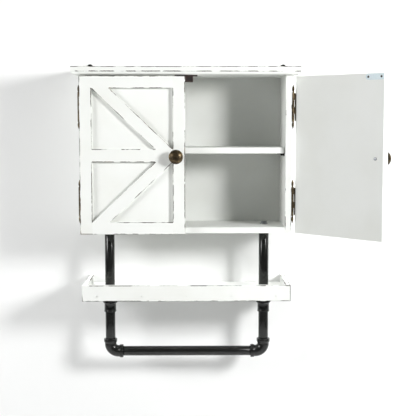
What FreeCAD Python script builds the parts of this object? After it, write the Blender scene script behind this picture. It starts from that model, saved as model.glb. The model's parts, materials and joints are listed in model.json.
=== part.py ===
import FreeCAD, Part
import os
import re

import Sketcher

# A wall-hung farmhouse cabinet with two barn doors, an open tray on black pipes and a towel bar.
# Millimetres. +Z is up, the wall is the plane Y = 0, the doors face -Y, and the origin is midway
# between the two hanging holes.

doc = FreeCAD.newDocument("hanging_wall_cabinet")

sizes = {
    # carcass and top
    "cabinet_width": 520, "carcass_height": 390, "carcass_depth": 163, "board": 15,
    "back_board": 4, "cap_overhang": 20, "cap_lip": 2, "cap_thick": 20, "cap_edge": 12.5,
    "cap_bevel": 10, "hole_above_cap": 8, "arris": 0.8,
    # doors
    "door_gap": 1.5, "door_top_gap": 3, "meeting_gap": 5, "door_board": 10, "batten_thick": 9,
    "batten_width": 30, "middle_rail": 32, "left_open": 0, "right_open": 135,
    # shelf
    "shelf_thick": 15, "shelf_drop": 177.5, "shelf_end_gap": 3.5, "shelf_set_back": 11,
    "pin_radius": 3, "pin_reach": 9, "pin_seat": 8, "pin_collar": 4.5, "pin_inset": 30,
    # hinges
    "leaf_height": 68, "leaf_width": 22, "leaf_thick": 1.2, "knuckle_radius": 3.1,
    "knuckle_gap": 0.2, "knuckle_slot": 0.4, "axis_behind_door": 6, "hinge_pin": 1.7,
    "running_gap": 0.05, "finial_length": 20, "hinge_drop": 75, "hinge_rise": 79,
    "hinge_screw_pitch": 25, "hinge_screw_line": 12,
    # knobs, catch and strike plates
    "knob_radius": 17.5, "knob_stem": 17, "knob_dome": 9, "knob_setback": 8, "knob_drop": 2.5,
    "knob_bolt": 2,
    "strike_length": 50, "strike_width": 14, "strike_thick": 1.2, "strike_edge": 1,
    "catch_flange": 56, "catch_width": 34, "catch_depth": 24, "catch_height": 17,
    "flange_thick": 3, "magnet_width": 11, "magnet_height": 8, "magnet_reach": 1,
    "catch_air": 0.3,
    # wall hangers
    "strap_thick": 2, "strap_width": 15, "strap_length": 62, "strap_above_hole": 7,
    "hanging_hole": 2.75,
    # pipes
    "pipe_radius": 12.5, "pipe_wall": 2.6, "pipe_spread": 396, "pipe_from_back": 81,
    "bar_drop": 317, "socket_gap": 0.1, "elbow_reach": 33, "elbow_bend": 20,
    "elbow_radius": 15, "bead_radius": 17, "bead_length": 10, "coupling_length": 48,
    "coupling_radius": 15.4, "collar_radius": 18.5, "collar_length": 24, "plug_length": 22,
    "bolt_radius": 4, "bolt_length": 32, "bolt_head": 7.5, "bolt_head_thick": 5.3,
    "washer_radius": 10, "washer_thick": 1.6,
    # tray
    "tray_drop": 130, "tray_depth": 169, "lip_height": 40, "lip_thick": 12,
    "tray_floor": 15, "floor_below_lip": 20,
    # screws and nails
    "small_head": 2.9, "small_shank": 1.4, "small_length": 11, "nail_head": 1.5,
    "nail_shank": 0.9, "nail_length": 32, "screw_gap": 0.1,
}
sheet = doc.addObject("Spreadsheet::Sheet", "Dims")
for row, (alias, value) in enumerate(sizes.items(), start=1):
    sheet.set(f"A{row}", alias)
    sheet.set(f"B{row}", str(value))
    sheet.setAlias(f"B{row}", alias)
doc.recompute()

alias_words = re.compile(r"\b(" + "|".join(sorted(sizes, key=len, reverse=True)) + r")\b")
facing = {
    "up": FreeCAD.Vector(0, 0, 1), "down": FreeCAD.Vector(0, 0, -1),
    "right": FreeCAD.Vector(1, 0, 0), "left": FreeCAD.Vector(-1, 0, 0),
    "front": FreeCAD.Vector(0, -1, 0), "wall": FreeCAD.Vector(0, 1, 0),
}
nodes = {}


def bind(obj, **expressions):
    """Ties properties of an object to expressions whose words are the sheet's aliases."""
    for name, text in expressions.items():
        obj.setExpression(name.replace("__", "."), alias_words.sub(r"Dims.\1", text))
    return obj


def place(obj, at, towards="up"):
    obj.Placement = FreeCAD.Placement(FreeCAD.Vector(), FreeCAD.Rotation(facing["up"], facing[towards]))
    x, y, z = at
    return bind(obj, Placement__Base__x=x, Placement__Base__y=y, Placement__Base__z=z)


def extent(span):
    return f"({span[1]}) - ({span[0]})"


def mirrored(side, low, high):
    """The span low..high on the right of the middle, or the same span on the left."""
    return (low, high) if side > 0 else (f"-({high})", f"-({low})")


def origin_plane(body, role):
    return next(item for item in body.Origin.OriginFeatures if item.Role == role)


def outline(body, role, points):
    """A closed sketch of straight lines whose corners are tied to pairs of expressions."""
    sketch = body.newObject("Sketcher::SketchObject", body.Name + "_sketch")
    sketch.AttachmentSupport = [(origin_plane(body, role), "")]
    sketch.MapMode = "FlatFace"
    count = len(points)
    rough = [FreeCAD.Vector(10 * (1 + i), 10 * (1 + i * i), 0) for i in range(count)]
    for i in range(count):
        sketch.addGeometry(Part.LineSegment(rough[i], rough[(i + 1) % count]), False)
    for i in range(count):
        sketch.addConstraint(Sketcher.Constraint("Coincident", i, 2, (i + 1) % count, 1))
    for i, (across, along) in enumerate(points):
        for kind, text in (("DistanceX", across), ("DistanceY", along)):
            index = sketch.addConstraint(Sketcher.Constraint(kind, -1, 1, i, 1, 10.0 * (1 + i)))
            sketch.renameConstraint(index, f"{kind}_{i}")
            bind(sketch, **{f"Constraints__{kind}_{i}": text})
    return sketch


def padded(name, role, points, thickness, soften="arris"):
    """A body padded from an outline, with every edge rounded by the wood's small arris."""
    body = doc.addObject("PartDesign::Body", name)
    pad = body.newObject("PartDesign::Pad", name + "_pad")
    pad.Profile = outline(body, role, points)
    bind(pad, Length=thickness)
    if soften:
        doc.recompute()
        fillet = body.newObject("PartDesign::Fillet", name + "_fillet")
        fillet.Base = (pad, [f"Edge{i + 1}" for i in range(len(pad.Shape.Edges))])
        bind(fillet, Radius=soften)
        body.Tip = fillet
    return body


def board(name, x, y, z):
    width, depth = extent(x), extent(y)
    corners = [("0", "0"), (width, "0"), (width, depth), ("0", depth)]
    return place(padded(name, "XY_Plane", corners, extent(z)), (x[0], y[0], z[0]))


def box(name, x, y, z):
    made = doc.addObject("Part::Box", name)
    return place(bind(made, Length=extent(x), Width=extent(y), Height=extent(z)), (x[0], y[0], z[0]))


def rod(name, at, towards, radius, length):
    made = doc.addObject("Part::Cylinder", name)
    return place(bind(made, Radius=radius, Height=length), at, towards)


def cone(name, at, towards, start_radius, end_radius, length):
    made = doc.addObject("Part::Cone", name)
    return place(bind(made, Radius1=start_radius, Radius2=end_radius, Height=length), at, towards)


def egg(name, at, towards, half_length, radius, lowest=-90):
    made = doc.addObject("Part::Ellipsoid", name)
    made.Angle1 = lowest
    return place(bind(made, Radius1=half_length, Radius2=radius), at, towards)


def group(name, pieces):
    made = doc.addObject("Part::Compound", name)
    made.Links = pieces
    return made


def fuse(name, pieces):
    made = doc.addObject("Part::MultiFuse", name)
    made.Shapes = pieces
    return made


def cut(name, base, tools):
    made = doc.addObject("Part::Cut", name)
    made.Base = base
    made.Tool = tools[0] if len(tools) == 1 else group(name + "_tools", tools)
    return made


def shifted(at, towards, distance):
    """The point at a distance from another one, along one of the six directions."""
    return tuple(f"({text}) + ({step:.0f}) * ({distance})" for text, step in zip(at, facing[towards]))


def node(label, obj):
    obj.Label = label
    nodes[label] = obj
    return obj


def screws(name, size, places):
    """Countersunk screws or nails and the slightly wider holes for them, as two groups."""
    made = {}
    for suffix, gap in (("screw", "0"), ("hole", "screw_gap")):
        pieces = []
        for i, (at, towards) in enumerate(places):
            stem = f"{name}_{suffix}{i}"
            head = cone(stem + "_head", at, towards, f"{size}_head + {gap}",
                        f"{size}_shank + {gap}", f"{size}_head - {size}_shank")
            shank = rod(stem + "_shank", at, towards, f"{size}_shank + {gap}",
                        f"{size}_length + {gap}")
            pieces.append(fuse(stem, [head, shank]))
        made[suffix] = group(f"{name}_{suffix}s", pieces)
    return made["screw"], made["hole"]


# Levels and faces shared by the pieces, as expressions of the sheet's aliases.
side_x = "(cabinet_width / 2)"
inner_x = "(cabinet_width / 2 - board)"
back_y = "(-strap_thick)"
front_y = "(-(strap_thick + carcass_depth))"
door_back_y = f"({front_y} - door_gap)"
door_board_y = f"({door_back_y} - door_board)"
door_face_y = f"({door_board_y} - batten_thick)"
cap_top = "(-hole_above_cap)"
carcass_top = "(-(hole_above_cap + cap_thick))"
carcass_foot = f"({carcass_top} - carcass_height)"
cabinet_floor = f"({carcass_foot} + board)"
door_top = f"({carcass_top} - door_top_gap)"
door_middle = f"(({door_top} + {carcass_foot}) / 2)"
knob_level = f"({door_middle} - knob_drop)"
shelf_top = f"({carcass_top} - shelf_drop)"
axis_x = "(cabinet_width / 2 + knuckle_radius + knuckle_gap)"
axis_y = f"({door_back_y} + axis_behind_door)"
free_x = "(meeting_gap / 2)"
pipe_x = "(pipe_spread / 2)"
pipe_y = f"({back_y} - pipe_from_back)"
lip_top = f"({carcass_foot} - tray_drop)"
lip_foot = f"({lip_top} - lip_height)"
tray_top = f"({lip_top} - floor_below_lip)"
tray_under = f"({tray_top} - tray_floor)"
bar_z = f"({carcass_foot} - bar_drop)"
hinge_levels = {
    "upper": f"({door_top} - hinge_drop)",
    "lower": f"({carcass_foot} + hinge_rise)",
}
sides = {"left": -1, "right": 1}


def on_side(side, text):
    return f"({side}) * {text}"


def swung(label, side_name, piece):
    """A door piece, made as if shut, turned about its hinge axis to where the door stands."""
    side = sides[side_name]
    turned = node(label, group(label + "_swung", [piece]))
    turned.Placement.Rotation = FreeCAD.Rotation(facing["up"], 90 * side)
    angle = f"({side}) * {side_name}_open * 1deg"
    x, y = on_side(side, axis_x), axis_y
    return bind(turned, Placement__Rotation__Angle=f"{side_name}_open * 1deg",
                Placement__Base__x=f"{x} - {x} * cos({angle}) + {y} * sin({angle})",
                Placement__Base__y=f"{y} - {x} * sin({angle}) - {y} * cos({angle})")


def carcass():
    hinge_fixings = []
    for name, side in sides.items():
        for level in hinge_levels.values():
            for step in (-1, 0, 1):
                at = (on_side(side, f"({side_x} + leaf_thick)"), f"{axis_y} + hinge_screw_line",
                      f"{level} + ({step}) * hinge_screw_pitch")
                hinge_fixings.append((at, "left" if side > 0 else "right"))
    hinge_screws, hinge_holes = screws("cabinet_hinge", "small", hinge_fixings)
    node("cabinet_hinge_screws", hinge_screws)

    strap_x = "(cabinet_width / 2 - board / 2)"
    strap_screws = [((on_side(side, strap_x), "0", f"{carcass_top} - {drop}"), "front")
                    for side in sides.values() for drop in (8, 22)]
    strap_fixings, strap_holes = screws("hanger", "small", strap_screws)
    node("hanger_screws", strap_fixings)

    pins, pin_holes = [], []
    pin_z = f"({shelf_top} - shelf_thick - running_gap - pin_radius)"
    for side in sides.values():
        out, inward = ("right", "left") if side > 0 else ("left", "right")
        for i, y in enumerate((f"{back_y} - pin_inset", f"{front_y} + pin_inset")):
            stem = f"shelf_pin{side + 1}{i}"
            at = (on_side(side, inner_x), y, pin_z)
            collar = rod(stem + "_collar", at, inward, "pin_collar", "1.5")
            shaft = rod(stem + "_shaft", shifted(at, out, "pin_seat"), inward, "pin_radius",
                        "pin_seat + pin_reach")
            pins.append(fuse(stem, [collar, shaft]))
            pin_holes.append(rod(stem + "_hole", shifted(at, out, "pin_seat + screw_gap"), inward,
                                 "pin_radius + screw_gap", "pin_seat + 2 * screw_gap"))
    node("shelf_pins", group("shelf_pin_group", pins))

    for name, side in sides.items():
        blank = board(f"{name}_side_blank", mirrored(side, inner_x, side_x), (front_y, back_y),
                      (carcass_foot, carcass_top))
        node(f"{name}_side_panel", cut(f"{name}_side", blank,
                                       [group(f"{name}_side_holes",
                                              [hinge_holes, strap_holes] + pin_holes)]))

    bottom = board("bottom_blank", (f"-{inner_x}", inner_x), (front_y, f"{back_y} - back_board"),
                   (carcass_foot, cabinet_floor))
    bolt_holes = [rod(f"bolt_hole_{name}", (on_side(side, pipe_x), pipe_y, f"{carcass_foot} - 1"),
                      "up", "bolt_radius + 0.5", "board + 2") for name, side in sides.items()]
    node("bottom_panel", cut("bottom", bottom, bolt_holes))
    node("back_panel", board("back", (f"-{inner_x}", inner_x), (f"{back_y} - back_board", back_y),
                             (carcass_foot, carcass_top)))

    strap_z = (f"strap_above_hole - strap_length", "strap_above_hole - strap_width / 2")
    for name, side in sides.items():
        x = on_side(side, strap_x)
        plate = box(f"{name}_strap_plate", (f"{x} - strap_width / 2", f"{x} + strap_width / 2"),
                    (back_y, "0"), strap_z)
        crown = rod(f"{name}_strap_crown", (x, back_y, strap_z[1]), "wall", "strap_width / 2",
                    "strap_thick")
        eye = rod(f"{name}_strap_eye", (x, f"{back_y} - 1", "0"), "wall", "hanging_hole",
                  "strap_thick + 2")
        strap = fuse(f"{name}_strap", [plate, crown])
        node(f"{name}_hanger", cut(f"{name}_strap_drilled", strap, [eye, strap_holes]))


def cap_and_catch():
    cap_x = "(cabinet_width / 2 + cap_overhang)"
    cap_front = f"({door_face_y} - cap_lip)"
    slab = box("cap_slab", (f"-{cap_x}", cap_x), (cap_front, back_y),
               (f"{cap_top} - cap_edge", cap_top))
    # The bevel is a wedge that narrows downwards on the front and both ends.
    bevel = doc.addObject("Part::Wedge", "cap_bevel_wedge")
    bevel.Placement.Rotation = FreeCAD.Rotation(facing["right"], -90)
    bind(bevel, Xmin=f"-{cap_x}", Xmax=cap_x, X2min=f"-{cap_x} + cap_bevel",
         X2max=f"{cap_x} - cap_bevel", Ymin="0", Ymax="cap_thick - cap_edge", Zmin=cap_front,
         Zmax=back_y, Z2min=f"{cap_front} + cap_bevel", Z2max=back_y,
         Placement__Base__z=f"{cap_top} - cap_edge")
    half = "(catch_width / 2)"
    ear = "((catch_flange + catch_width) / 4)"
    catch_y = f"({door_back_y} + strike_thick + catch_air + magnet_reach)"
    catch_span = (catch_y, f"{catch_y} + catch_depth")
    flange_under = f"({carcass_top} - flange_thick)"
    fixings = [((on_side(side, ear), f"{catch_y} + catch_depth / 2", flange_under), "up")
               for side in sides.values()]
    catch_screws, catch_holes = screws("catch", "small", fixings)
    node("catch_screws", catch_screws)
    node("top_cap", cut("cap", fuse("cap_solid", [slab, bevel]), [catch_holes]))

    flange = box("catch_flange_plate", ("-catch_flange / 2", "catch_flange / 2"), catch_span,
                 (flange_under, carcass_top))
    case = box("catch_case", (f"-{half}", half), catch_span,
               (f"{carcass_top} - catch_height", flange_under))
    magnets = []
    for name, side in sides.items():
        middle = on_side(side, f"({half} / 2)")
        magnet_z = f"{carcass_top} - (catch_height + flange_thick) / 2"
        magnets.append(box(f"{name}_magnet",
                           (f"{middle} - magnet_width / 2", f"{middle} + magnet_width / 2"),
                           (f"{catch_y} - magnet_reach", f"{catch_y} + catch_depth - 4"),
                           (f"{magnet_z} - magnet_height / 2", f"{magnet_z} + magnet_height / 2")))
    magnet_group = node("catch_magnets", group("magnets", magnets))
    node("catch_housing", cut("catch", fuse("catch_solid", [flange, case]), [magnet_group, catch_holes]))


def shelf():
    end = f"({inner_x} - shelf_end_gap)"
    node("shelf", board("shelf_board", (f"-{end}", end),
                        (f"{front_y} + shelf_set_back", f"{back_y} - back_board - 1"),
                        (f"{shelf_top} - shelf_thick", shelf_top)))


def hinge_leaf(name, side, level, holder, holes):
    """One leaf: a plate, two of the four knuckles and the roots that join them."""
    away = 1 if holder == "cabinet" else -1
    face = mirrored(side, side_x, f"{side_x} + leaf_thick")
    bottom = f"({level} - leaf_height / 2)"

    def reach(start, stop):
        low, high = f"{axis_y} + {start}", f"{axis_y} + {stop}"
        return (low, high) if away > 0 else (f"{axis_y} - ({stop})", f"{axis_y} - ({start})")

    pieces = [box(name + "_plate", face, reach("(knuckle_radius + knuckle_slot)", "leaf_width"),
                  (bottom, f"{bottom} + leaf_height"))]
    for i in (0, 2) if holder == "cabinet" else (1, 3):
        low = f"({bottom} + {i} * leaf_height / 4 + knuckle_slot / 2)"
        high = f"{low} + leaf_height / 4 - knuckle_slot"
        pieces.append(box(f"{name}_root{i}", face, reach("0", "(knuckle_radius + knuckle_slot)"),
                          (low, high)))
        pieces.append(rod(f"{name}_knuckle{i}", (on_side(side, axis_x), axis_y, low), "up",
                          "knuckle_radius", "leaf_height / 4 - knuckle_slot"))
    bore = rod(name + "_bore", (on_side(side, axis_x), axis_y, f"{bottom} - 1"), "up",
               "hinge_pin + running_gap", "leaf_height + 2")
    return cut(name, fuse(name + "_solid", pieces), [bore, holes])


def hinge_pin(name, side, level):
    """A pin with a turned finial at each end."""
    x = on_side(side, axis_x)
    pieces = [rod(name + "_shaft", (x, axis_y, f"{level} - leaf_height / 2 - 2"), "up", "hinge_pin",
                  "leaf_height + 4")]
    for towards, end in (("up", f"{level} + leaf_height / 2"), ("down", f"{level} - leaf_height / 2")):
        at = (x, axis_y, end)
        stem = f"{name}_{towards}"
        pieces += [
            rod(stem + "_ring", shifted(at, towards, "0.2"), towards, "knuckle_radius", "1.6"),
            rod(stem + "_neck", shifted(at, towards, "1.5"), towards, "2.1", "2.5"),
            egg(stem + "_acorn", shifted(at, towards, "finial_length / 2"), towards,
                "finial_length / 2 - 2.5", "knuckle_radius"),
            cone(stem + "_tip", shifted(at, towards, "finial_length - 4"), towards, "1.9", "0.6", "4"),
        ]
    return fuse(name, pieces)


def door(name, side):
    door_x = mirrored(side, free_x, side_x)
    door_z = (carcass_foot, door_top)
    battens_y = (door_face_y, door_board_y)
    inward = "left" if side > 0 else "right"
    prefix = f"{name}_door"

    fixings = [((on_side(side, f"({side_x} + leaf_thick)"), f"{axis_y} - hinge_screw_line",
                 f"{level} + ({step}) * hinge_screw_pitch"), inward)
               for level in hinge_levels.values() for step in (-1, 0, 1)]
    hinge_screws, hinge_holes = screws(f"{prefix}_hinge", "small", fixings)
    swung(f"{prefix}_hinge_screws", name, hinge_screws)
    leaves = [hinge_leaf(f"{prefix}_{key}_leaf", side, level, "door", hinge_holes)
              for key, level in hinge_levels.items()]
    swung(f"{prefix}_hinge_leaves", name, group(f"{prefix}_leaves", leaves))

    # The strike plate lies flat on the inner face at the free top corner, with one round end.
    strike_z = f"({door_top} - strike_edge - strike_width / 2)"
    strike_start = f"({free_x} + strike_edge)"
    strike_end = f"({strike_start} + strike_length - strike_width / 2)"
    plate = box(f"{name}_strike_bar", mirrored(side, strike_start, strike_end),
                (door_back_y, f"{door_back_y} + strike_thick"),
                (f"{strike_z} - strike_width / 2", f"{strike_z} + strike_width / 2"))
    round_end = rod(f"{name}_strike_end", (on_side(side, strike_end), door_back_y, strike_z), "wall",
                    "strike_width / 2", "strike_thick")
    strike_at = (f"{strike_start} + strike_width / 2", strike_end)
    strike_fixings = [((on_side(side, f"({x})"), f"{door_back_y} + strike_thick", strike_z), "front")
                      for x in strike_at]
    strike_screws, strike_holes = screws(f"{name}_strike", "small", strike_fixings)
    swung(f"{name}_strike_screws", name, strike_screws)
    swung(f"{name}_strike_plate", name,
          cut(f"{name}_strike", fuse(f"{name}_strike_solid", [plate, round_end]), [strike_holes]))

    knob_x = on_side(side, f"({free_x} + batten_width - knob_setback)")
    knob_hole = rod(f"{name}_knob_hole", (knob_x, f"{door_back_y} + 1", knob_level), "front",
                    "knob_bolt + screw_gap", "door_board + batten_thick + 2")
    swung(f"{prefix}_board", name,
          cut(f"{prefix}_panel",
              board(f"{prefix}_panel_blank", door_x, (door_board_y, door_back_y), door_z),
              [hinge_holes, strike_holes, knob_hole]))

    knob_stile = board(f"{prefix}_knob_stile", mirrored(side, free_x, f"{free_x} + batten_width"),
                       battens_y, door_z)
    hinge_stile = board(f"{prefix}_hinge_stile", mirrored(side, f"{side_x} - batten_width", side_x),
                        battens_y, door_z)
    swung(f"{prefix}_stiles", name,
          cut(f"{prefix}_stile_pair", group(f"{prefix}_stile_blanks", [knob_stile, hinge_stile]),
              [knob_hole, hinge_holes]))

    rail_x = mirrored(side, f"{free_x} + batten_width", f"{side_x} - batten_width")
    rails = {
        "top": (f"{door_top} - batten_width", door_top),
        "middle": (f"{door_middle} - middle_rail / 2", f"{door_middle} + middle_rail / 2"),
        "bottom": (carcass_foot, f"{carcass_foot} + batten_width"),
    }
    for key, rail_z in rails.items():
        swung(f"{prefix}_{key}_rail", name, board(f"{prefix}_{key}", rail_x, battens_y, rail_z))

    # Each brace runs from the hinge-side corner of its opening to the corner beside the knob.
    across = f"({side_x} - {free_x} - 2 * batten_width)"
    rise = f"(({door_top} - {carcass_foot} - 2 * batten_width - middle_rail) / 2)"
    slope = f"(atan({rise} / {across}) + asin(batten_width / sqrt({across} ^ 2 + {rise} ^ 2)))"
    foot = f"({across} - {rise} / tan({slope}))"
    braces = []
    for key, upright in (("upper", 1), ("lower", -1)):
        hinge_z, knob_z = (rise, "0") if upright > 0 else ("0", rise)
        if side > 0:
            points = [("0", knob_z), (foot, knob_z), (across, hinge_z), (f"{across} - {foot}", hinge_z)]
        else:
            points = [("0", hinge_z), (foot, hinge_z), (across, knob_z), (f"{across} - {foot}", knob_z)]
        body = padded(f"{prefix}_{key}_brace", "XZ_Plane", points, "batten_thick", soften="")
        corner_z = f"{door_middle} + middle_rail / 2" if upright > 0 else f"{carcass_foot} + batten_width"
        braces.append(place(body, (rail_x[0], door_board_y, corner_z)))
    swung(f"{prefix}_braces", name, group(f"{prefix}_brace_pair", braces))

    knob_at = (knob_x, door_face_y, knob_level)
    head_at = shifted(knob_at, "front", "knob_stem + 2")
    knob = fuse(f"{name}_knob_solid", [
        rod(f"{name}_knob_foot", knob_at, "front", "9", "2.5"),
        cone(f"{name}_knob_flare", shifted(knob_at, "front", "2.5"), "front", "8", "5.5", "3"),
        rod(f"{name}_knob_neck", knob_at, "front", "5.5", "knob_stem"),
        cone(f"{name}_knob_back", shifted(knob_at, "front", "knob_stem - 6"), "front", "6",
             "knob_radius - 0.8", "6"),
        rod(f"{name}_knob_rim", shifted(knob_at, "front", "knob_stem"), "front", "knob_radius", "2"),
        egg(f"{name}_knob_dome", head_at, "front", "knob_dome", "knob_radius", lowest=0),
    ])
    tap = rod(f"{name}_knob_tap", (knob_x, f"{door_back_y} + 1", knob_level), "front",
              "knob_bolt + screw_gap", "door_board + batten_thick + 1 + 10 + screw_gap")
    swung(f"{name}_knob", name, cut(f"{name}_knob_cut", knob, [tap]))
    screw_at = (knob_x, door_back_y, knob_level)
    swung(f"{name}_knob_screw", name, fuse(f"{name}_knob_screw_solid", [
        rod(f"{name}_knob_shank", screw_at, "front", "knob_bolt", "door_board + batten_thick + 10"),
        rod(f"{name}_knob_pan", screw_at, "wall", "3.8", "1"),
        egg(f"{name}_knob_pan_top", shifted(screw_at, "wall", "1"), "wall", "0.8", "3.8", lowest=0),
    ]))


def hinges_on_cabinet():
    for name, side in sides.items():
        holes = doc.getObject("cabinet_hinge_holes")
        leaves = [hinge_leaf(f"{name}_cabinet_{key}_leaf", side, level, "cabinet", holes)
                  for key, level in hinge_levels.items()]
        node(f"{name}_cabinet_hinge_leaves", group(f"{name}_cabinet_leaves", leaves))
        pins = [hinge_pin(f"{name}_{key}_pin", side, level) for key, level in hinge_levels.items()]
        node(f"{name}_hinge_pins", group(f"{name}_pin_pair", pins))


def tube(label, at, towards, length):
    outer = rod(label + "_outer", at, towards, "pipe_radius", length)
    inner = rod(label + "_inner", shifted(at, towards, "-1"), towards, "pipe_radius - pipe_wall",
                f"({length}) + 2")
    return node(label, cut(label + "_tube", outer, [inner]))


def elbow(name, side):
    """A beaded bend: the run goes up and in towards the middle from the corner of the axes."""
    quarter = FreeCAD.Rotation(-facing["right"], -facing["up"], -facing["wall"], "ZXY")
    shells = {}
    for key, radius in (("body", "elbow_radius"), ("bore", "pipe_radius - pipe_wall")):
        bend = doc.addObject("Part::Torus", f"{name}_elbow_{key}")
        bend.Angle3 = 90
        bend.Placement.Rotation = quarter
        shells[key] = bind(bend, Radius1="elbow_bend", Radius2=radius,
                           Placement__Base__x="elbow_bend", Placement__Base__z="elbow_bend")
    solid, hollow = [shells["body"]], [shells["bore"]]
    for towards in ("up", "right"):
        stem = f"{name}_elbow_{towards}"
        at = shifted(("0", "0", "0"), towards, "elbow_bend")
        bead_at = shifted(("0", "0", "0"), towards, "(elbow_reach - bead_length)")
        solid += [
            rod(stem + "_leg", at, towards, "elbow_radius", "elbow_reach - elbow_bend"),
            cone(stem + "_shoulder", bead_at, towards, "elbow_radius", "bead_radius", "2.5"),
            rod(stem + "_bead", shifted(bead_at, towards, "2.5"), towards, "bead_radius",
                "bead_length - 3.5"),
            cone(stem + "_lip", shifted(bead_at, towards, "bead_length - 1"), towards, "bead_radius",
                 "bead_radius - 1", "1"),
        ]
        hollow.append(rod(stem + "_socket", at, towards, "pipe_radius + socket_gap",
                          "elbow_reach - elbow_bend + 1"))
    made = node(f"{name}_elbow", cut(f"{name}_elbow_cut", fuse(f"{name}_elbow_solid", solid),
                                     [fuse(f"{name}_elbow_hollow", hollow)]))
    made.Placement.Rotation = FreeCAD.Rotation(facing["up"], 180 if side > 0 else 0)
    return bind(made, Placement__Base__x=on_side(side, pipe_x), Placement__Base__y=pipe_y,
                Placement__Base__z=bar_z)


def pipes():
    coupling_foot = f"({tray_under} - coupling_length)"
    joint_z = f"({tray_under} - coupling_length / 2)"
    bolts, washers, plugs = [], [], []
    for name, side in sides.items():
        x = on_side(side, pipe_x)
        tube(f"{name}_upper_pipe", (x, pipe_y, f"{joint_z} + 0.5"), "up",
             f"{carcass_foot} - {joint_z} - 0.5")
        tube(f"{name}_lower_pipe", (x, pipe_y, f"{bar_z} + elbow_bend"), "up",
             f"{joint_z} - 0.5 - {bar_z} - elbow_bend")
        at = (x, pipe_y, tray_under)
        shell = fuse(f"{name}_coupling_shell", [
            rod(f"{name}_coupling_body", at, "down", "coupling_radius", "coupling_length - 1.5"),
            rod(f"{name}_coupling_collar", at, "down", "collar_radius", "collar_length - 1.5"),
            cone(f"{name}_collar_chamfer", shifted(at, "down", "collar_length - 1.5"), "down",
                 "collar_radius", "coupling_radius", "1.5"),
            cone(f"{name}_coupling_chamfer", shifted(at, "down", "coupling_length - 1.5"), "down",
                 "coupling_radius", "coupling_radius - 1", "1.5"),
        ])
        bore = rod(f"{name}_coupling_bore", (x, pipe_y, f"{coupling_foot} - 1"), "up",
                   "pipe_radius + socket_gap", "coupling_length + 2")
        node(f"{name}_pipe_coupling", cut(f"{name}_coupling", shell, [bore]))
        elbow(name, side)

        plug_at = (x, pipe_y, carcass_foot)
        plug = rod(f"{name}_plug_blank", plug_at, "down", "pipe_radius - pipe_wall - socket_gap",
                   "plug_length")
        thread = rod(f"{name}_plug_thread", shifted(plug_at, "up", "1"), "down",
                     "bolt_radius + socket_gap", "plug_length + 2")
        plugs.append(cut(f"{name}_plug", plug, [thread]))
        washer_at = (x, pipe_y, cabinet_floor)
        ring = rod(f"{name}_washer_ring", washer_at, "up", "washer_radius", "washer_thick")
        ring_hole = rod(f"{name}_washer_hole", shifted(washer_at, "down", "1"), "up",
                        "bolt_radius + 0.4", "washer_thick + 2")
        washers.append(cut(f"{name}_washer", ring, [ring_hole]))
        head_at = shifted(washer_at, "up", "washer_thick")
        head = bind(doc.addObject("Part::Prism", f"{name}_bolt_hexagon"), Circumradius="bolt_head",
                    Height="bolt_head_thick")
        shank = rod(f"{name}_bolt_shank", head_at, "down", "bolt_radius", "bolt_length")
        bolts.append(fuse(f"{name}_bolt", [place(head, head_at), shank]))
    node("pipe_bolts", group("bolt_pair", bolts))
    node("pipe_bolt_washers", group("washer_pair", washers))
    node("pipe_plugs", group("plug_pair", plugs))
    tube("towel_bar", (f"-({pipe_x} - elbow_bend)", pipe_y, bar_z), "right",
         f"2 * ({pipe_x} - elbow_bend)")


def tray():
    inside = f"({side_x} - lip_thick)"
    tray_front = f"({back_y} - tray_depth)"
    behind = (f"{tray_front} + lip_thick", back_y)
    lip_z = (lip_foot, lip_top)
    screw_z = f"({tray_top} - tray_floor / 2)"
    places = [((on_side(side, side_x), f"{back_y} - tray_depth * {share}", screw_z),
               "left" if side > 0 else "right") for side in sides.values() for share in (0.2, 0.75)]
    places += [((on_side(step, f"({inside} * 0.45)"), tray_front, screw_z), "wall")
               for step in (-2, -1, 0, 1, 2)]
    tray_nails, tray_holes = screws("tray", "nail", places)
    node("tray_nails", tray_nails)
    pipe_holes = [rod(f"{name}_tray_pipe_hole", (on_side(side, pipe_x), pipe_y, f"{tray_under} - 1"),
                      "up", "pipe_radius + 0.3", "tray_floor + 2") for name, side in sides.items()]
    node("tray_floor", cut("tray_base", board("tray_base_blank", (f"-{inside}", inside), behind,
                                              (tray_under, tray_top)), pipe_holes + [tray_holes]))
    node("tray_front", cut("tray_lip", board("tray_lip_blank", (f"-{side_x}", side_x),
                                             (tray_front, behind[0]), lip_z), [tray_holes]))
    for name, side in sides.items():
        blank = board(f"tray_{name}_blank", mirrored(side, inside, side_x), behind, lip_z)
        node(f"tray_{name}_side", cut(f"tray_{name}_lip", blank, [tray_holes]))


carcass()
cap_and_catch()
shelf()
for name, side in sides.items():
    door(name, side)
hinges_on_cabinet()
pipes()
tray()
doc.recompute()

for obj in doc.Objects:
    if "Invalid" in obj.State or "Error" in obj.State:
        raise RuntimeError(f"{obj.Label} did not build: {obj.State}")
os.makedirs("parts", exist_ok=True)
for label, obj in nodes.items():
    if obj.Shape.isNull() or not obj.Shape.isValid() or not obj.Shape.Solids:
        raise RuntimeError(f"{label} has no sound solid")
    obj.Shape.exportStep(f"parts/{label}.step")
print(len(nodes), "nodes written")
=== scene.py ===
import json
import math

import bpy
import bmesh
from mathutils import Matrix, Vector, noise


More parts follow.
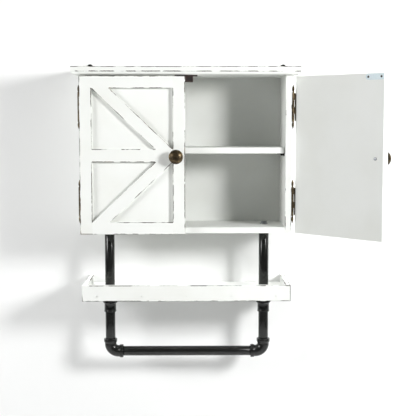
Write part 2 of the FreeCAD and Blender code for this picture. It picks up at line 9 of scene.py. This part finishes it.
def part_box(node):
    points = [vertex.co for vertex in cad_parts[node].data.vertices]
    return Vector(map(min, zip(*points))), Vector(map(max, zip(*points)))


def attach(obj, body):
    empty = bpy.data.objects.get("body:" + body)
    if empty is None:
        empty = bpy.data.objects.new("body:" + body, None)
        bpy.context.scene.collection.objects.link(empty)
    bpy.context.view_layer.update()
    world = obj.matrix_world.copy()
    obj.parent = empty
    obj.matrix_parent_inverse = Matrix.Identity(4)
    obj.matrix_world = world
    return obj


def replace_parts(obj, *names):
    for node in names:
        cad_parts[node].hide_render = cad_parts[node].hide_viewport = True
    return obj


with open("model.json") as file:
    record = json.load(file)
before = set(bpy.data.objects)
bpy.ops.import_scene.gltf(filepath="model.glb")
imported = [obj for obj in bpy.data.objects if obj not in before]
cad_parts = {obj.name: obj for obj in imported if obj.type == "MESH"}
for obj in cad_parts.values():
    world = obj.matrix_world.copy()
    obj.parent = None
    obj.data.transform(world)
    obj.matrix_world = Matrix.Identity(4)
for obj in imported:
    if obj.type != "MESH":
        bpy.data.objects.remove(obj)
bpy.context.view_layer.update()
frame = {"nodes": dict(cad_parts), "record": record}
scene = bpy.context.scene
mm = 0.001


class Wire:
    # an output socket of a material's tree: sums on wires add the nodes that work them out
    def __init__(self, tree, socket=None):
        self.tree, self.socket = tree, socket

    def node(self, kind, settings=None, inputs=None, out=0):
        made = self.tree.nodes.new(kind)
        for key, value in (settings or {}).items():
            setattr(made, key, value)
        for key, value in (inputs or {}).items():
            if isinstance(value, Wire):
                self.tree.links.new(value.socket, made.inputs[key])
            else:
                made.inputs[key].default_value = value
        return Wire(self.tree, made.outputs[out])

    def sum(self, operation, first, second=0.0, third=0.0):
        return self.node("ShaderNodeMath", {"operation": operation}, {0: first, 1: second, 2: third})

    def __add__(self, other):
        return self.sum("ADD", self, other)

    def __sub__(self, other):
        return self.sum("SUBTRACT", self, other)

    def __mul__(self, other):
        return self.sum("MULTIPLY", self, other)

    def __rsub__(self, other):
        return self.sum("SUBTRACT", other, self)

    __radd__, __rmul__ = __add__, __mul__

    def above(self, edge, softness):
        # 0 below the edge, 1 above it, with a soft step between
        return self.node("ShaderNodeMapRange", {"interpolation_type": "SMOOTHSTEP"},
                         {"Value": self, "From Min": edge - softness, "From Max": edge + softness})

    def noise(self, where, scale, detail=2.0, roughness=0.5):
        return self.node("ShaderNodeTexNoise", None,
                         {"Vector": where, "Scale": scale, "Detail": detail, "Roughness": roughness})

    def stretched(self, where, x, y, z):
        return self.node("ShaderNodeVectorMath", {"operation": "MULTIPLY"}, {0: where, 1: (x, y, z)})

    def mixed(self, share, first, second):
        return self.node("ShaderNodeMix", {"data_type": "RGBA", "clamp_factor": True},
                         {0: share, 6: first, 7: second}, out=2)

    def attribute(self, name, out):
        return self.node("ShaderNodeAttribute", {"attribute_name": name}, None, out)

    def bump(self, height, distance, strength=1.0):
        return self.node("ShaderNodeBump", None,
                         {"Height": height, "Distance": distance, "Strength": strength})


def newMaterial(name):
    material = bpy.data.materials.new(name)
    material.use_nodes = True
    tree = material.node_tree
    return material, Wire(tree), tree.nodes["Principled BSDF"]


def feed(shader, **values):
    for name, value in values.items():
        socket = shader.inputs[name.replace("_", " ")]
        if isinstance(value, Wire):
            value.tree.links.new(value.socket, socket)
        else:
            socket.default_value = value


paintLook = {
    "white": (0.825, 0.84, 0.815, 1), "cream": (0.76, 0.77, 0.725, 1),
    "dark": (0.050, 0.044, 0.038, 1), "brown": (0.17, 0.115, 0.075, 1), "tan": (0.30, 0.27, 0.23, 1),
    "hairline": 0.45 * mm, "thick": 1.2 * mm, "ragged": 1.5 * mm,
}


def paintedWood():
    # rubbed stretches follow each arris: a hairline in places, a wide ragged strip in others
    look = paintLook
    material, w, shader = newMaterial("paintedWood")
    spot = w.attribute("grainSpot", "Vector")
    gap = w.attribute("arrisGap", "Fac")
    share = w.attribute("arrisWear", "Fac")
    along = w.stretched(spot, 1.0, 0.35, 0.35)
    rubbed = (w.noise(along, 23.0, 2.0, 0.6) + share).above(1.02, 0.035)
    thick = w.noise(along, 41.0, 1.0).above(0.5, 0.09)
    ragged = (w.noise(spot, 260.0, 3.0, 0.65) - 0.5) * look["ragged"]
    reach = rubbed * (thick * look["thick"] + look["hairline"] + ragged)
    worn = (reach - gap).above(0.0, 0.16 * mm) * rubbed.above(0.12, 0.1)
    halo = (reach + 0.6 * mm - gap).above(0.0, 0.5 * mm) * 0.3 * rubbed
    streaks = w.noise(w.stretched(spot, 9.0, 260.0, 260.0), 1.0, 3.0, 0.6)
    clouds = w.noise(spot, 9.0, 3.0)
    paint = w.mixed(clouds.above(0.55, 0.25) * 0.6, look["white"], look["cream"])
    paint = w.mixed(halo, paint, look["tan"])
    bare = w.mixed(w.noise(along, 31.0, 1.0).above(0.68, 0.05), look["dark"], look["brown"])
    bare = w.mixed(streaks.above(0.66, 0.1) * 0.35, bare, look["tan"])
    relief = streaks * 0.5 + w.noise(spot, 700.0, 2.0) * 0.25 - worn * 1.2
    feed(shader, Base_Color=w.mixed(worn, paint, bare), Roughness=0.42 + worn * 0.35 + streaks * 0.1,
         Normal=w.bump(relief, 0.12 * mm, 0.6))
    return material


brassLook = {"dark": (0.050, 0.037, 0.022, 1), "bright": (0.17, 0.125, 0.068, 1)}


def antiqueBrass():
    material, w, shader = newMaterial("antiqueBrass")
    spot = w.node("ShaderNodeTexCoord", None, None, "Object")
    rubbed = w.noise(spot, 90.0, 4.0, 0.6).above(0.56, 0.16)
    feed(shader, Base_Color=w.mixed(rubbed, brassLook["dark"], brassLook["bright"]), Metallic=0.9,
         Roughness=0.44 - rubbed * 0.12, Normal=w.bump(w.noise(spot, 900.0, 2.0), 0.05 * mm, 0.4))
    return material


pipePaint = {"deep": (0.007, 0.0074, 0.007, 1), "dusty": (0.014, 0.0143, 0.0132, 1), "sheen": 0.45}


def blackPipe():
    material, w, shader = newMaterial("blackPipe")
    spot = w.node("ShaderNodeTexCoord", None, None, "Object")
    dust = w.noise(spot, 60.0, 3.0)
    feed(shader, Base_Color=w.mixed(dust, pipePaint["deep"], pipePaint["dusty"]),
         Roughness=0.10 + dust * 0.14, Specular_IOR_Level=pipePaint["sheen"],
         Normal=w.bump(w.noise(spot, 900.0, 2.0), 0.02 * mm, 0.25))
    return material


def plainMetal(name, colour, roughness, grain=500.0, metal=1.0):
    material, w, shader = newMaterial(name)
    spot = w.node("ShaderNodeTexCoord", None, None, "Object")
    cloud = w.noise(spot, grain, 3.0)
    darker = tuple(c * 0.72 for c in colour[:3]) + (1,)
    feed(shader, Base_Color=w.mixed(cloud, darker, colour), Metallic=metal,
         Roughness=roughness + cloud * 0.15 - 0.07, Normal=w.bump(cloud, 0.02 * mm, 0.5))
    return material


def mouldedPlastic(name, colour):
    material, w, shader = newMaterial(name)
    spot = w.node("ShaderNodeTexCoord", None, None, "Object")
    grain = w.noise(spot, 1100.0, 2.0)
    darker = tuple(c * 0.7 for c in colour[:3]) + (1,)
    feed(shader, Base_Color=w.mixed(grain, darker, colour), Roughness=0.45 + grain * 0.1,
         Normal=w.bump(grain, 0.04 * mm, 0.5))
    return material


finishes = {
    "painted_wood": paintedWood(),
    "antique_brass": antiqueBrass(),
    "black_pipe": blackPipe(),
    "zinc": plainMetal("zincPlate", (0.36, 0.38, 0.40, 1), 0.38),
    "dull_zinc": plainMetal("dullZinc", (0.66, 0.76, 0.80, 1), 0.45, metal=0.12),
    "dark_steel": plainMetal("darkSteel", (0.045, 0.042, 0.04, 1), 0.42),
    "brown_plastic": mouldedPlastic("brownPlastic", (0.045, 0.025, 0.021, 1)),
    "magnet": plainMetal("magnetSteel", (0.07, 0.065, 0.065, 1), 0.5),
}
print("finishes made")


def finished(name, body, slot, mesh, place=None, replaced=None, sharp=38):
    # turns worked-out faces into a piece that rides its body and stands in for the designed nodes
    data = bpy.data.meshes.new(name)
    mesh.to_mesh(data)
    mesh.free()
    if place is not None:
        data.transform(place)
        if place.determinant() < 0:
            data.flip_normals()
    for polygon in data.polygons:
        polygon.use_smooth = True
    data.set_sharp_from_angle(angle=math.radians(sharp))
    data.materials.append(finishes[slot])
    piece = bpy.data.objects.new(name, data)
    scene.collection.objects.link(piece)
    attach(piece, body)
    if replaced:
        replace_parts(piece, *replaced)
    return piece


def rings(mesh, rows, closed):
    # joins rows of vertices, each a loop, with faces; a closed list joins the last row to the first
    count = len(rows[0])
    for n in range(len(rows) if closed else len(rows) - 1):
        low, high = rows[n], rows[(n + 1) % len(rows)]
        for i in range(count):
            j = (i + 1) % count
            mesh.faces.new((low[i], low[j], high[j], high[i]))


def turned(name, body, slot, profile, base, axis, place=None, replaced=None, count=56, closed=False):
    # a turned piece: profile rows are radius and height from the base along the axis
    axis = Vector(axis)
    across = Vector((1, 0, 0)) if abs(axis.x) < 0.5 else Vector((0, 1, 0))
    other = axis.cross(across)
    mesh = bmesh.new()
    rows = []
    for radius, height in profile:
        centre = Vector(base) + axis * height
        rows.append([mesh.verts.new(centre + (across * math.cos(a) + other * math.sin(a)) * radius)
                     for a in (2 * math.pi * i / count for i in range(count))])
    rings(mesh, rows, closed)
    if not closed:
        mesh.faces.new(rows[0][::-1])
        mesh.faces.new(rows[-1])
    return finished(name, body, slot, mesh, place, replaced)


boardLook = {"arris": 1.1 * mm, "step": 7 * mm, "near": (0, 0.4, 0.9, 1.5, 2.6, 5.0, 9.0)}
axisOf = {"left": 0, "right": 0, "front": 1, "back": 1, "foot": 2, "top": 2}
highFaces = ("right", "back", "top")


def latticeLines(length, extra):
    # positions across a board: close together at both sides, and at the ends of worn stretches
    near = [n * mm for n in boardLook["near"] if n * mm < length / 2 - 0.3 * mm]
    first, last = near[-1], length - near[-1]
    count = max(1, round((last - first) / boardLook["step"]))
    middle = [first + (last - first) * i / count for i in range(1, count)]
    lines = sorted(near + middle + [length - n for n in near] + [e for e in extra if 0 < e < length])
    return [a for i, a in enumerate(lines) if i == 0 or a - lines[i - 1] > 0.05 * mm]


def board(name, body, low, high, worn, slant=0.0, seed=0.0, place=None, replaced=None):
    # a board between two corners; worn lists its rubbed arrises as (face, face, wear, start, end),
    # and a slant shifts the top along X, which makes a brace
    size = high - low
    lean = math.cos(math.atan2(slant, size.z)) if slant else 1.0
    edges = []
    for faceA, faceB, wear, *stretch in worn:
        along = 3 - axisOf[faceA] - axisOf[faceB]
        start, end = stretch if stretch else (-1.0, 2.0)
        edges.append((faceA, faceB, wear, along, start, end))
    extra = [[], [], []]
    for _, _, _, along, start, end in edges:
        extra[along] += [start, start + 1.5 * mm, end - 1.5 * mm, end]
    lines = [latticeLines(size[a], extra[a]) for a in range(3)]
    counts = [len(line) for line in lines]

    def gapTo(face, spot):
        axis = axisOf[face]
        gap = size[axis] - spot[axis] if face in highFaces else spot[axis]
        return gap * lean if axis == 0 else gap

    long = max(range(3), key=lambda a: size[a])
    mesh = bmesh.new()
    gapLayer = mesh.verts.layers.float.new("arrisGap")
    wearLayer = mesh.verts.layers.float.new("arrisWear")
    spotLayer = mesh.verts.layers.float_vector.new("grainSpot")
    made = {}

    def vertex(i, j, k):
        if (i, j, k) in made:
            return made[i, j, k]
        spot = Vector((lines[0][i], lines[1][j], lines[2][k]))
        moved = spot.copy()
        nearest, wearHere = 12 * mm, 0.0
        for faceA, faceB, wear, along, start, end in edges:
            a, b = gapTo(faceA, spot), gapTo(faceB, spot)
            beyond = max(0.0, start - spot[along], spot[along] - end)
            distance = math.hypot(a, b, beyond)
            if distance < nearest:
                nearest, wearHere = distance, wear
            wobble = noise.noise(Vector((spot[along] * 38 + seed, seed * 1.7 + len(faceA), wear)))
            radius = boardLook["arris"] * (1.0 + 0.55 * wobble) if beyond == 0 else 0.0
            if a < radius and b < radius and beyond == 0:
                reach = math.hypot(a - radius, b - radius)
                if reach > 0:
                    for face, gap in ((faceA, a), (faceB, b)):
                        inward = radius + (gap - radius) * radius / reach - gap
                        axis = axisOf[face]
                        inward = inward / lean if axis == 0 else inward
                        moved[axis] += -inward if face in highFaces else inward
        shift = slant * spot.z / size.z
        vert = mesh.verts.new(low + moved + Vector((shift, 0, 0)))
        vert[gapLayer], vert[wearLayer] = nearest, wearHere
        order = [long] + [a for a in range(3) if a != long]
        vert[spotLayer] = Vector([spot[a] for a in order]) + Vector((seed * 0.31, seed * 0.17, seed * 0.05))
        made[i, j, k] = vert
        return vert

    for axis in range(3):
        u, v = (axis + 1) % 3, (axis + 2) % 3
        for side in (0, counts[axis] - 1):
            for a in range(counts[u] - 1):
                for b in range(counts[v] - 1):
                    corners = []
                    for da, db in ((0, 0), (1, 0), (1, 1), (0, 1)):
                        index = [0, 0, 0]
                        index[axis], index[u], index[v] = side, a + da, b + db
                        corners.append(vertex(*index))
                    mesh.faces.new(corners if side else corners[::-1])
    return finished(name, body, "painted_wood", mesh, place, replaced)


def allEdges(wear, *without):
    faces = ("left", "right", "front", "back", "foot", "top")
    pairs = [(a, b) for n, a in enumerate(faces) for b in faces[n + 1:] if axisOf[a] != axisOf[b]]
    return [(a, b, wear) for a, b in pairs if a not in without and b not in without]


def carcassBoards():
    for n, (node, wear, without) in enumerate((
            ("left_side_panel", 0.46, ("top",)), ("right_side_panel", 0.46, ("top",)),
            ("bottom_panel", 0.40, ("left", "right")), ("shelf", 0.30, ("back",)),
            ("tray_front", 0.60, ()), ("tray_left_side", 0.55, ("front",)),
            # the tray floor's worn arrises are only at its back, against the wall: partly rubbed paint,
            # partly painted shade of the gap between floor and wall
            ("tray_right_side", 0.55, ("front",)), ("tray_floor", 0.52, ("left", "right", "front")))):
        low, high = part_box(node)
        body = "shelf" if node == "shelf" else "cabinet"
        board(node + "_wood", body, low, high, allEdges(wear, *without), seed=3.1 * n, replaced=[node])
    low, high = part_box("back_panel")
    board("back_panel_wood", "cabinet", low, high, [], seed=40.0, replaced=["back_panel"])


carcassBoards()


# the rows give how far in, how far down and how far from the worn arris each loop lies
capLook = {"edge": 12.5 * mm, "inset": 10 * mm, "step": 1.2 * mm, "wear": 0.70, "level": 0.58, "corner": 0.5,
           # the cove's share gives rubbed paint and also a painted shade line over the door's top
           "coveWearAndGapShade": 0.45, "inner": 0.3, "turns": 8, "frontSteps": 80, "sideSteps": 26,
           "top": (0.026, 0.012, 0.006, 0.003, 0.0018),
           "rounding": ((0.0009, 0.0001, 0.0009), (0.0003, 0.0004, 0.0003), (0.0, 0.0010, 0.0007)),
           "upperEdge": (0.0022, 0.0036), "lowerEdge": (0.0036, 0.0022, 0.0012, 0.0006)}


def topCap():
    # one loop of edge after another, from the middle of the top, over the edge and down the moulding
    look = capLook
    low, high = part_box("top_cap")
    drop = high.z - low.z - look["edge"]
    path = [(inset, 0.0, inset, look["wear"]) for inset in look["top"]]
    path += [(*row, look["wear"]) for row in look["rounding"]]
    path += [(0.0, d, d, look["wear"]) for d in look["upperEdge"]]
    path += [(0.0, look["edge"] - d, d, look["level"]) for d in look["lowerEdge"]]
    path += [(0.0002, look["edge"] - 0.0002, 0.0003, look["level"]),
             (look["step"] / 2, look["edge"], 0.0008, look["level"]),
             (look["step"], look["edge"] + 0.0002, 0.0016, look["level"])]
    turns = look["turns"]
    # the cove's loops and the underside just behind its foot get rubbed paint, and also a painted shade line
    # that stands in for the shade in the gap over the door's top
    for n in range(1, turns + 1):
        turn = math.pi / 2 * n / turns
        inset = look["step"] + (look["inset"] - look["step"]) * (1 - math.cos(turn))
        gap = 0.0016 + 0.0009 * min(n, turns + 1 - n)
        path.append((inset, look["edge"] + drop * math.sin(turn), gap, look["coveWearAndGapShade"]))
    path += [(look["inset"] + 0.002, look["edge"] + drop, 0.002, look["coveWearAndGapShade"]),
             (look["inset"] + 0.008, look["edge"] + drop, 0.008, look["inner"])]
    short, long = look["sideSteps"], look["frontSteps"]
    sides = ((short, Vector((0, -1, 0))), (long, Vector((1, 0, 0))),
             (short, Vector((0, 1, 0))), (long, Vector((-1, 0, 0))))
    mesh = bmesh.new()
    gapLayer = mesh.verts.layers.float.new("arrisGap")
    wearLayer = mesh.verts.layers.float.new("arrisWear")
    spotLayer = mesh.verts.layers.float_vector.new("grainSpot")
    rows = []
    for inset, down, gap, wear in path:
        left, right, front = low.x + inset, high.x - inset, low.y + inset
        corners = (Vector((left, high.y, 0)), Vector((left, front, 0)), Vector((right, front, 0)),
                   Vector((right, high.y, 0)))
        row = []
        for n, (steps, along) in enumerate(sides):
            start, end = corners[n], corners[(n + 1) % 4]
            length = (end - start).length
            for i in range(steps):
                share = i / steps
                # closer steps at the corners keep the mitred lines crisp
                reach = length * (share + 0.85 * math.sin(2 * math.pi * share) / (-2 * math.pi))
                at = start + along * reach
                wobble = noise.noise(Vector((reach * 30 + n * 7, 3.3, 1.0))) * 0.35 * mm
                inward = Vector((-along.y, along.x, 0)) * (wobble if gap < 0.001 and n < 3 else 0)
                vert = mesh.verts.new(at + inward * (1 if 0 < i else 0) + Vector((0, 0, high.z - down)))
                atFront = [d for d, near in ((reach, n in (1, 2)), (length - reach, n in (0, 1))) if near]
                corner = min(atFront) if atFront and down > 0 else 0.02
                vert[gapLayer] = min(gap, corner * 1.2, 0.012)
                vert[wearLayer] = wear if gap < corner else look["corner"]
                vert[spotLayer] = Vector((reach + n * 0.7, inset + down, 0.3))
                row.append(vert)
        rows.append(row)
    rings(mesh, rows[::-1], False)
    mesh.faces.new(rows[0])
    mesh.faces.new(rows[-1][::-1])
    mesh.normal_update()
    finished("top_cap_wood", "cabinet", "painted_wood", mesh, None, ["top_cap"], 30)


topCap()
print("boards made")

hinge = {joint["name"]: joint for joint in frame["record"]["behaviour"]["joints"]}
doorLook = {"outer": 0.60, "opening": 0.58, "brace": 0.56, "back": 0.22}


def doorPlaces():
    # the left door's pieces serve both doors: the right one is its mirror image, swung open
    joint = hinge["right_door_hinge"]
    pivot = Matrix.Translation(Vector(joint["pos_m"]))
    turn = Matrix.Rotation(-math.radians(joint["range_deg"][0]), 4, Vector(joint["axis"]))
    mirror = Matrix.Scale(-1, 4, Vector((1, 0, 0)))
    return {"left": Matrix.Identity(4), "right": pivot @ turn @ pivot.inverted() @ mirror}


def doorBoards():
    look = doorLook
    low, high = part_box("left_door_board")
    stileLow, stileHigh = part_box("left_door_stiles")
    railLow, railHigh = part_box("left_door_top_rail")
    middleLow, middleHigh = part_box("left_door_middle_rail")
    footLow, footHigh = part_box("left_door_bottom_rail")
    width = railHigh.z - railLow.z
    across, rise = railHigh.x - railLow.x, railLow.z - middleHigh.z
    slope = math.atan2(rise, across) + math.asin(width / math.hypot(across, rise))
    foot = across - rise / math.tan(slope)
    for n, (side, place) in enumerate(doorPlaces().items()):
        body = side + "_door"
        prefix = side + "_door_"
        seed = 11.0 + 17 * n
        board(prefix + "board_wood", body, low, high,
              allEdges(look["back"], "front"), seed=seed, place=place, replaced=[prefix + "board"])
        # openings run between the rails; a brace covers the corner that its foot stands in
        top, upper = stileHigh.z - railLow.z, stileHigh.z - middleHigh.z
        height = stileHigh.z - stileLow.z
        hingeStretches = ((height - upper, height - top),
                          (footHigh.z - footLow.z, middleLow.z - stileLow.z))
        for key, x0, x1, inner, outer in (("hinge_stile", stileLow.x, railLow.x, "right", "left"),
                                          ("knob_stile", railHigh.x, stileHigh.x, "left", "right")):
            worn = [("front", outer, look["outer"]), ("front", "top", look["outer"]),
                    ("front", "foot", look["outer"])]
            worn += [("front", inner, look["opening"], a, b) for a, b in hingeStretches]
            board(prefix + key + "_wood", body, Vector((x0, stileLow.y, stileLow.z)),
                  Vector((x1, stileHigh.y, stileHigh.z)), worn, seed=seed + len(key), place=place)
        board(prefix + "top_rail_wood", body, railLow, railHigh,
              [("front", "top", look["outer"] + 0.06), ("front", "foot", look["opening"], foot, across)],
              seed=seed + 5, replaced=[prefix + "top_rail"], place=place)
        board(prefix + "middle_rail_wood", body, middleLow, middleHigh,
              [("front", "top", look["opening"], 0, across - foot),
               ("front", "foot", look["opening"], 0, across - foot)],
              seed=seed + 6, replaced=[prefix + "middle_rail"], place=place)
        board(prefix + "bottom_rail_wood", body, footLow, footHigh,
              [("front", "foot", look["outer"]), ("front", "top", look["opening"], foot, across)],
              seed=seed + 7, replaced=[prefix + "bottom_rail"], place=place)
        # the upper brace leans from the hinge's top corner to the knob, the lower one mirrors it
        reach = across - foot
        for key, z0, z1, x0, lean in (("upper_brace", middleHigh.z, railLow.z, railLow.x + reach, -reach),
                                      ("lower_brace", footHigh.z, middleLow.z, railLow.x, reach)):
            board(prefix + key + "_wood", body, Vector((x0, railLow.y, z0)),
                  Vector((x0 + foot, railHigh.y, z1)),
                  [("front", "left", look["brace"]), ("front", "right", look["brace"])],
                  slant=lean, seed=seed + len(key) * 2 + z0, place=place)
        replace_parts(bpy.data.objects[prefix + "hinge_stile_wood"], prefix + "stiles")
        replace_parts(bpy.data.objects[prefix + "knob_stile_wood"], prefix + "stiles")
        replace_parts(bpy.data.objects[prefix + "upper_brace_wood"], prefix + "braces")
        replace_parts(bpy.data.objects[prefix + "lower_brace_wood"], prefix + "braces")


doorBoards()
print("doors made")

knobLook = {"profile": ((7.6, 0), (9.6, 0), (10.0, 0.5), (10.0, 1.4), (9.3, 2.0), (7.4, 2.5), (6.2, 3.4),
                        (5.5, 5.0), (5.2, 7.5), (5.5, 10.0), (6.6, 12.2), (8.9, 14.2), (12.2, 15.6),
                        (15.0, 16.6), (16.6, 17.5), (17.3, 18.6), (17.5, 19.6), (17.3, 20.5), (16.6, 21.3),
                        (15.8, 21.6), (15.5, 21.75), (15.1, 22.3), (14.1, 23.7), (12.3, 25.2), (9.8, 26.5),
                        (6.8, 27.4), (3.6, 27.9), (1.2, 28.0))}


def knobs():
    low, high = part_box("left_knob")
    middle = (low + high) / 2
    for side, place in doorPlaces().items():
        turned(side + "_knob_turned", side + "_door", "antique_brass",
               [(r * mm, h * mm) for r, h in knobLook["profile"]],
               (middle.x, high.y, middle.z), (0, -1, 0), place, [side + "_knob"])


knobs()
print("knobs made")

pipeLook = {"wall": 2.6 * mm, "chamfer": 0.5 * mm, "pitch": 1.8 * mm, "groove": 0.55 * mm, "threads": 6,
            "collar": 24 * mm, "body": 15.4 * mm, "bend": 20 * mm, "bead": 10 * mm, "elbow": 15 * mm,
            "elbowSides": 48}


def tubeProfile(outer, length, threadsLow, threadsHigh):
    # outer wall from one end to the other with cut threads, then the bore back again
    look = pipeLook
    chamfer, bore = look["chamfer"], outer - look["wall"]
    rows = [(outer - chamfer, 0.0), (outer, chamfer)]

    def cuts(start, count):
        made = []
        for n in range(count):
            at = start + n * look["pitch"]
            made += [(outer, at), (outer - look["groove"], at + 0.5 * look["pitch"])]
        return made + ([(outer, start + count * look["pitch"])] if count else [])

    rows += cuts(2 * chamfer, threadsLow)
    rows += cuts(length - 2 * chamfer - threadsHigh * look["pitch"], threadsHigh)
    rows += [(outer, length - chamfer), (outer - chamfer, length), (bore, length), (bore, 0.0)]
    return rows


def pipes():
    look = pipeLook
    for side in ("left", "right"):
        for part in ("upper", "lower"):
            node = f"{side}_{part}_pipe"
            low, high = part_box(node)
            outer = (high.x - low.x) / 2
            cut = look["threads"] if part == "upper" else 3
            turned(node + "_tube", "cabinet", "black_pipe",
                   tubeProfile(outer, high.z - low.z, cut, 3 if part == "upper" else cut),
                   ((low.x + high.x) / 2, (low.y + high.y) / 2, low.z), (0, 0, 1), None, [node], closed=True)
        low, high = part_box(f"{side}_pipe_coupling")
        middle, length = (low + high) / 2, high.z - low.z
        collar, body = (high.x - low.x) / 2, look["body"]
        pipe = (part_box(f"{side}_upper_pipe")[1].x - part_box(f"{side}_upper_pipe")[0].x) / 2 + 0.1 * mm
        edge = length - look["collar"]
        rows = [(pipe, 0), (body - 0.9 * mm, 0), (body - 0.2 * mm, 0.4 * mm), (body, 1.2 * mm),
                (body, 3 * mm), (body - 0.5 * mm, 4 * mm), (body - 0.5 * mm, edge - 4 * mm),
                (body, edge - 2.6 * mm), (collar - 0.8 * mm, edge), (collar, edge + 0.8 * mm),
                (collar, length - 0.9 * mm), (collar - 0.9 * mm, length), (pipe, length)]
        turned(f"{side}_coupling_cast", "cabinet", "black_pipe", rows, (middle.x, middle.y, low.z),
               (0, 0, 1), None, [f"{side}_pipe_coupling"], closed=True)
    low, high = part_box("towel_bar")
    outer = (high.z - low.z) / 2
    turned("towel_bar_tube", "cabinet", "black_pipe", tubeProfile(outer, high.x - low.x, 4, 4),
           (low.x, (low.y + high.y) / 2, (low.z + high.z) / 2), (1, 0, 0), None, ["towel_bar"], closed=True)


def elbows():
    # a cast elbow: a bead at each mouth, a slimmer quarter bend between them, and its bore
    look = pipeLook
    for side, sign in (("left", 1), ("right", -1)):
        low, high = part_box(f"{side}_elbow")
        bead = (high.y - low.y) / 2
        corner = Vector((low.x + bead if sign > 0 else high.x - bead, (low.y + high.y) / 2, low.z + bead))
        reach, bend = high.z - corner.z, look["bend"]
        body, width = look["elbow"], look["bead"]
        bore = (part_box(f"{side}_lower_pipe")[1].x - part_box(f"{side}_lower_pipe")[0].x) / 2 + 0.1 * mm
        mouth = [(0.0, bead - 0.9 * mm), (0.25 * mm, bead - 0.35 * mm), (0.9 * mm, bead),
                 (width - 2.4 * mm, bead), (width - 1.2 * mm, bead - 0.5 * mm),
                 (width - 0.2 * mm, body + 0.5 * mm),
                 (width + 1.2 * mm, body)]
        half = reach - bend + bend * math.pi / 4
        arc = [(half * 2 - (reach - bend) - bend * math.pi / 2 * (1 - n / 14), body) for n in range(15)]
        stations = mouth + [a for a in arc if width + 1.4 * mm < a[0] < 2 * half - width - 1.4 * mm]
        stations += [(2 * half - d, r) for d, r in mouth[::-1]]
        stations += [(d, bore) for d, _ in stations[::-1]]
        mesh = bmesh.new()
        rows = []
        for distance, radius in stations:
            straight = reach - bend
            turn = min(max((distance - straight) / bend, 0.0), math.pi / 2)
            # down the upright leg, round the quarter, then out along the level leg
            at = Vector((bend - bend * math.cos(turn), 0, bend - bend * math.sin(turn)))
            ahead = Vector((math.sin(turn), 0, -math.cos(turn)))
            over = distance - straight - turn * bend
            at += ahead * over if over > 0 or distance < straight else Vector()
            out = Vector((ahead.z, 0, -ahead.x))
            row = []
            for n in range(look["elbowSides"]):
                angle = 2 * math.pi * n / look["elbowSides"]
                offset = out * math.cos(angle) * radius + Vector((0, math.sin(angle) * radius, 0))
                spot = at + offset
                row.append(mesh.verts.new(corner + Vector((spot.x * sign, spot.y, spot.z))))
            rows.append(row)
        rings(mesh, rows, True)
        if sign < 0:
            bmesh.ops.reverse_faces(mesh, faces=mesh.faces)
        finished(f"{side}_elbow_cast", "cabinet", "black_pipe", mesh, None, [f"{side}_elbow"])


pipes()
elbows()
print("pipes made")

slotOf = {part["node"]: part["material_slot"] for part in frame["record"]["subparts"]}
for side in ("left_", "right_"):
    slotOf.update({side + "strike_plate": "dull_zinc", side + "strike_screws": "dark_steel"})
for nodeName, nodeObject in frame["nodes"].items():
    nodeObject.data.materials.clear()
    nodeObject.data.materials.append(finishes[slotOf[nodeName]])
print("nodes painted")

stageLook = {
    "span": 4.0, "wallGap": 0.5 * mm, "floor": -1.35, "white": (0.87, 0.875, 0.87, 1),
    "dull": 0.85, "room": 0.06, "aim": (0.02, -0.1, -0.3),
    "lights": {"keyLight": ((1.46, -1.37, 0.2), 0.45, 38.0), "leftBox": ((-1.9, -1.2, 0.22), 1.1, 32.0),
               "topLight": ((0.0, -1.2, 1.8), 1.5, 2.2), "rightBox": ((2.4, -1.2, 0.5), 1.5, 8.0),
               "backLight": ((-0.6, 2.4, 0.9), 1.6, 40.0)},
}


def stageSheet(name, corners):
    data = bpy.data.meshes.new(name)
    data.from_pydata(corners, [], [(0, 1, 2, 3)])
    sheet = bpy.data.objects.new(name, data)
    scene.collection.objects.link(sheet)
    return sheet


def studio():
    look = stageLook
    half, y = look["span"] / 2, look["wallGap"]
    foot = look["floor"]
    wall = stageSheet("wall", [(-half, y, foot), (half, y, foot), (half, y, half), (-half, y, half)])
    floor = stageSheet("floor", [(-half, -half * 2, foot), (half, -half * 2, foot),
                                 (half, half, foot), (-half, half, foot)])
    material, _, shader = newMaterial("paleWall")
    feed(shader, Base_Color=look["white"], Roughness=look["dull"])
    floor.data.materials.append(material)
    # the wall is clear from behind, so that the cabinet's back can be seen
    material, w, shader = newMaterial("paleWallOneSided")
    feed(shader, Base_Color=look["white"], Roughness=look["dull"])
    clear = w.node("ShaderNodeBsdfTransparent")
    behind = w.node("ShaderNodeNewGeometry", None, None, "Backfacing")
    front = Wire(w.tree, shader.outputs[0])
    mixed = w.node("ShaderNodeMixShader", None, {0: behind, 1: front, 2: clear})
    w.tree.links.new(mixed.socket, w.tree.nodes["Material Output"].inputs["Surface"])
    wall.data.materials.append(material)
    wall.visible_shadow = False

    world = bpy.data.worlds.new("softRoom")
    world.use_nodes = True
    world.node_tree.nodes["Background"].inputs["Color"].default_value = (1.0, 1.0, 1.0, 1)
    world.node_tree.nodes["Background"].inputs["Strength"].default_value = look["room"]
    scene.world = world
    aim = Vector(look["aim"])
    for name, (place, size, watts) in look["lights"].items():
        data = bpy.data.lights.new(name, "AREA")
        data.shape, data.size, data.energy = "DISK", size, watts
        lamp = bpy.data.objects.new(name, data)
        lamp.location = place
        lamp.rotation_euler = (Vector(place) - aim).to_track_quat("Z", "Y").to_euler()
        lamp.visible_camera = False
        scene.collection.objects.link(lamp)
    scene.view_settings.view_transform = "Standard"


cameraLook = {"place": (0.0264, -2.4705, -0.1385), "down": 5.36, "right": 0.68, "lens": 80.9}


def camera():
    look = cameraLook
    data = bpy.data.cameras.new("camera")
    data.lens, data.sensor_width = look["lens"], 36.0
    made = bpy.data.objects.new("camera", data)
    made.location = look["place"]
    made.rotation_euler = (math.radians(90 - look["down"]), 0, math.radians(-look["right"]))
    scene.collection.objects.link(made)
    scene.camera = made


studio()
camera()
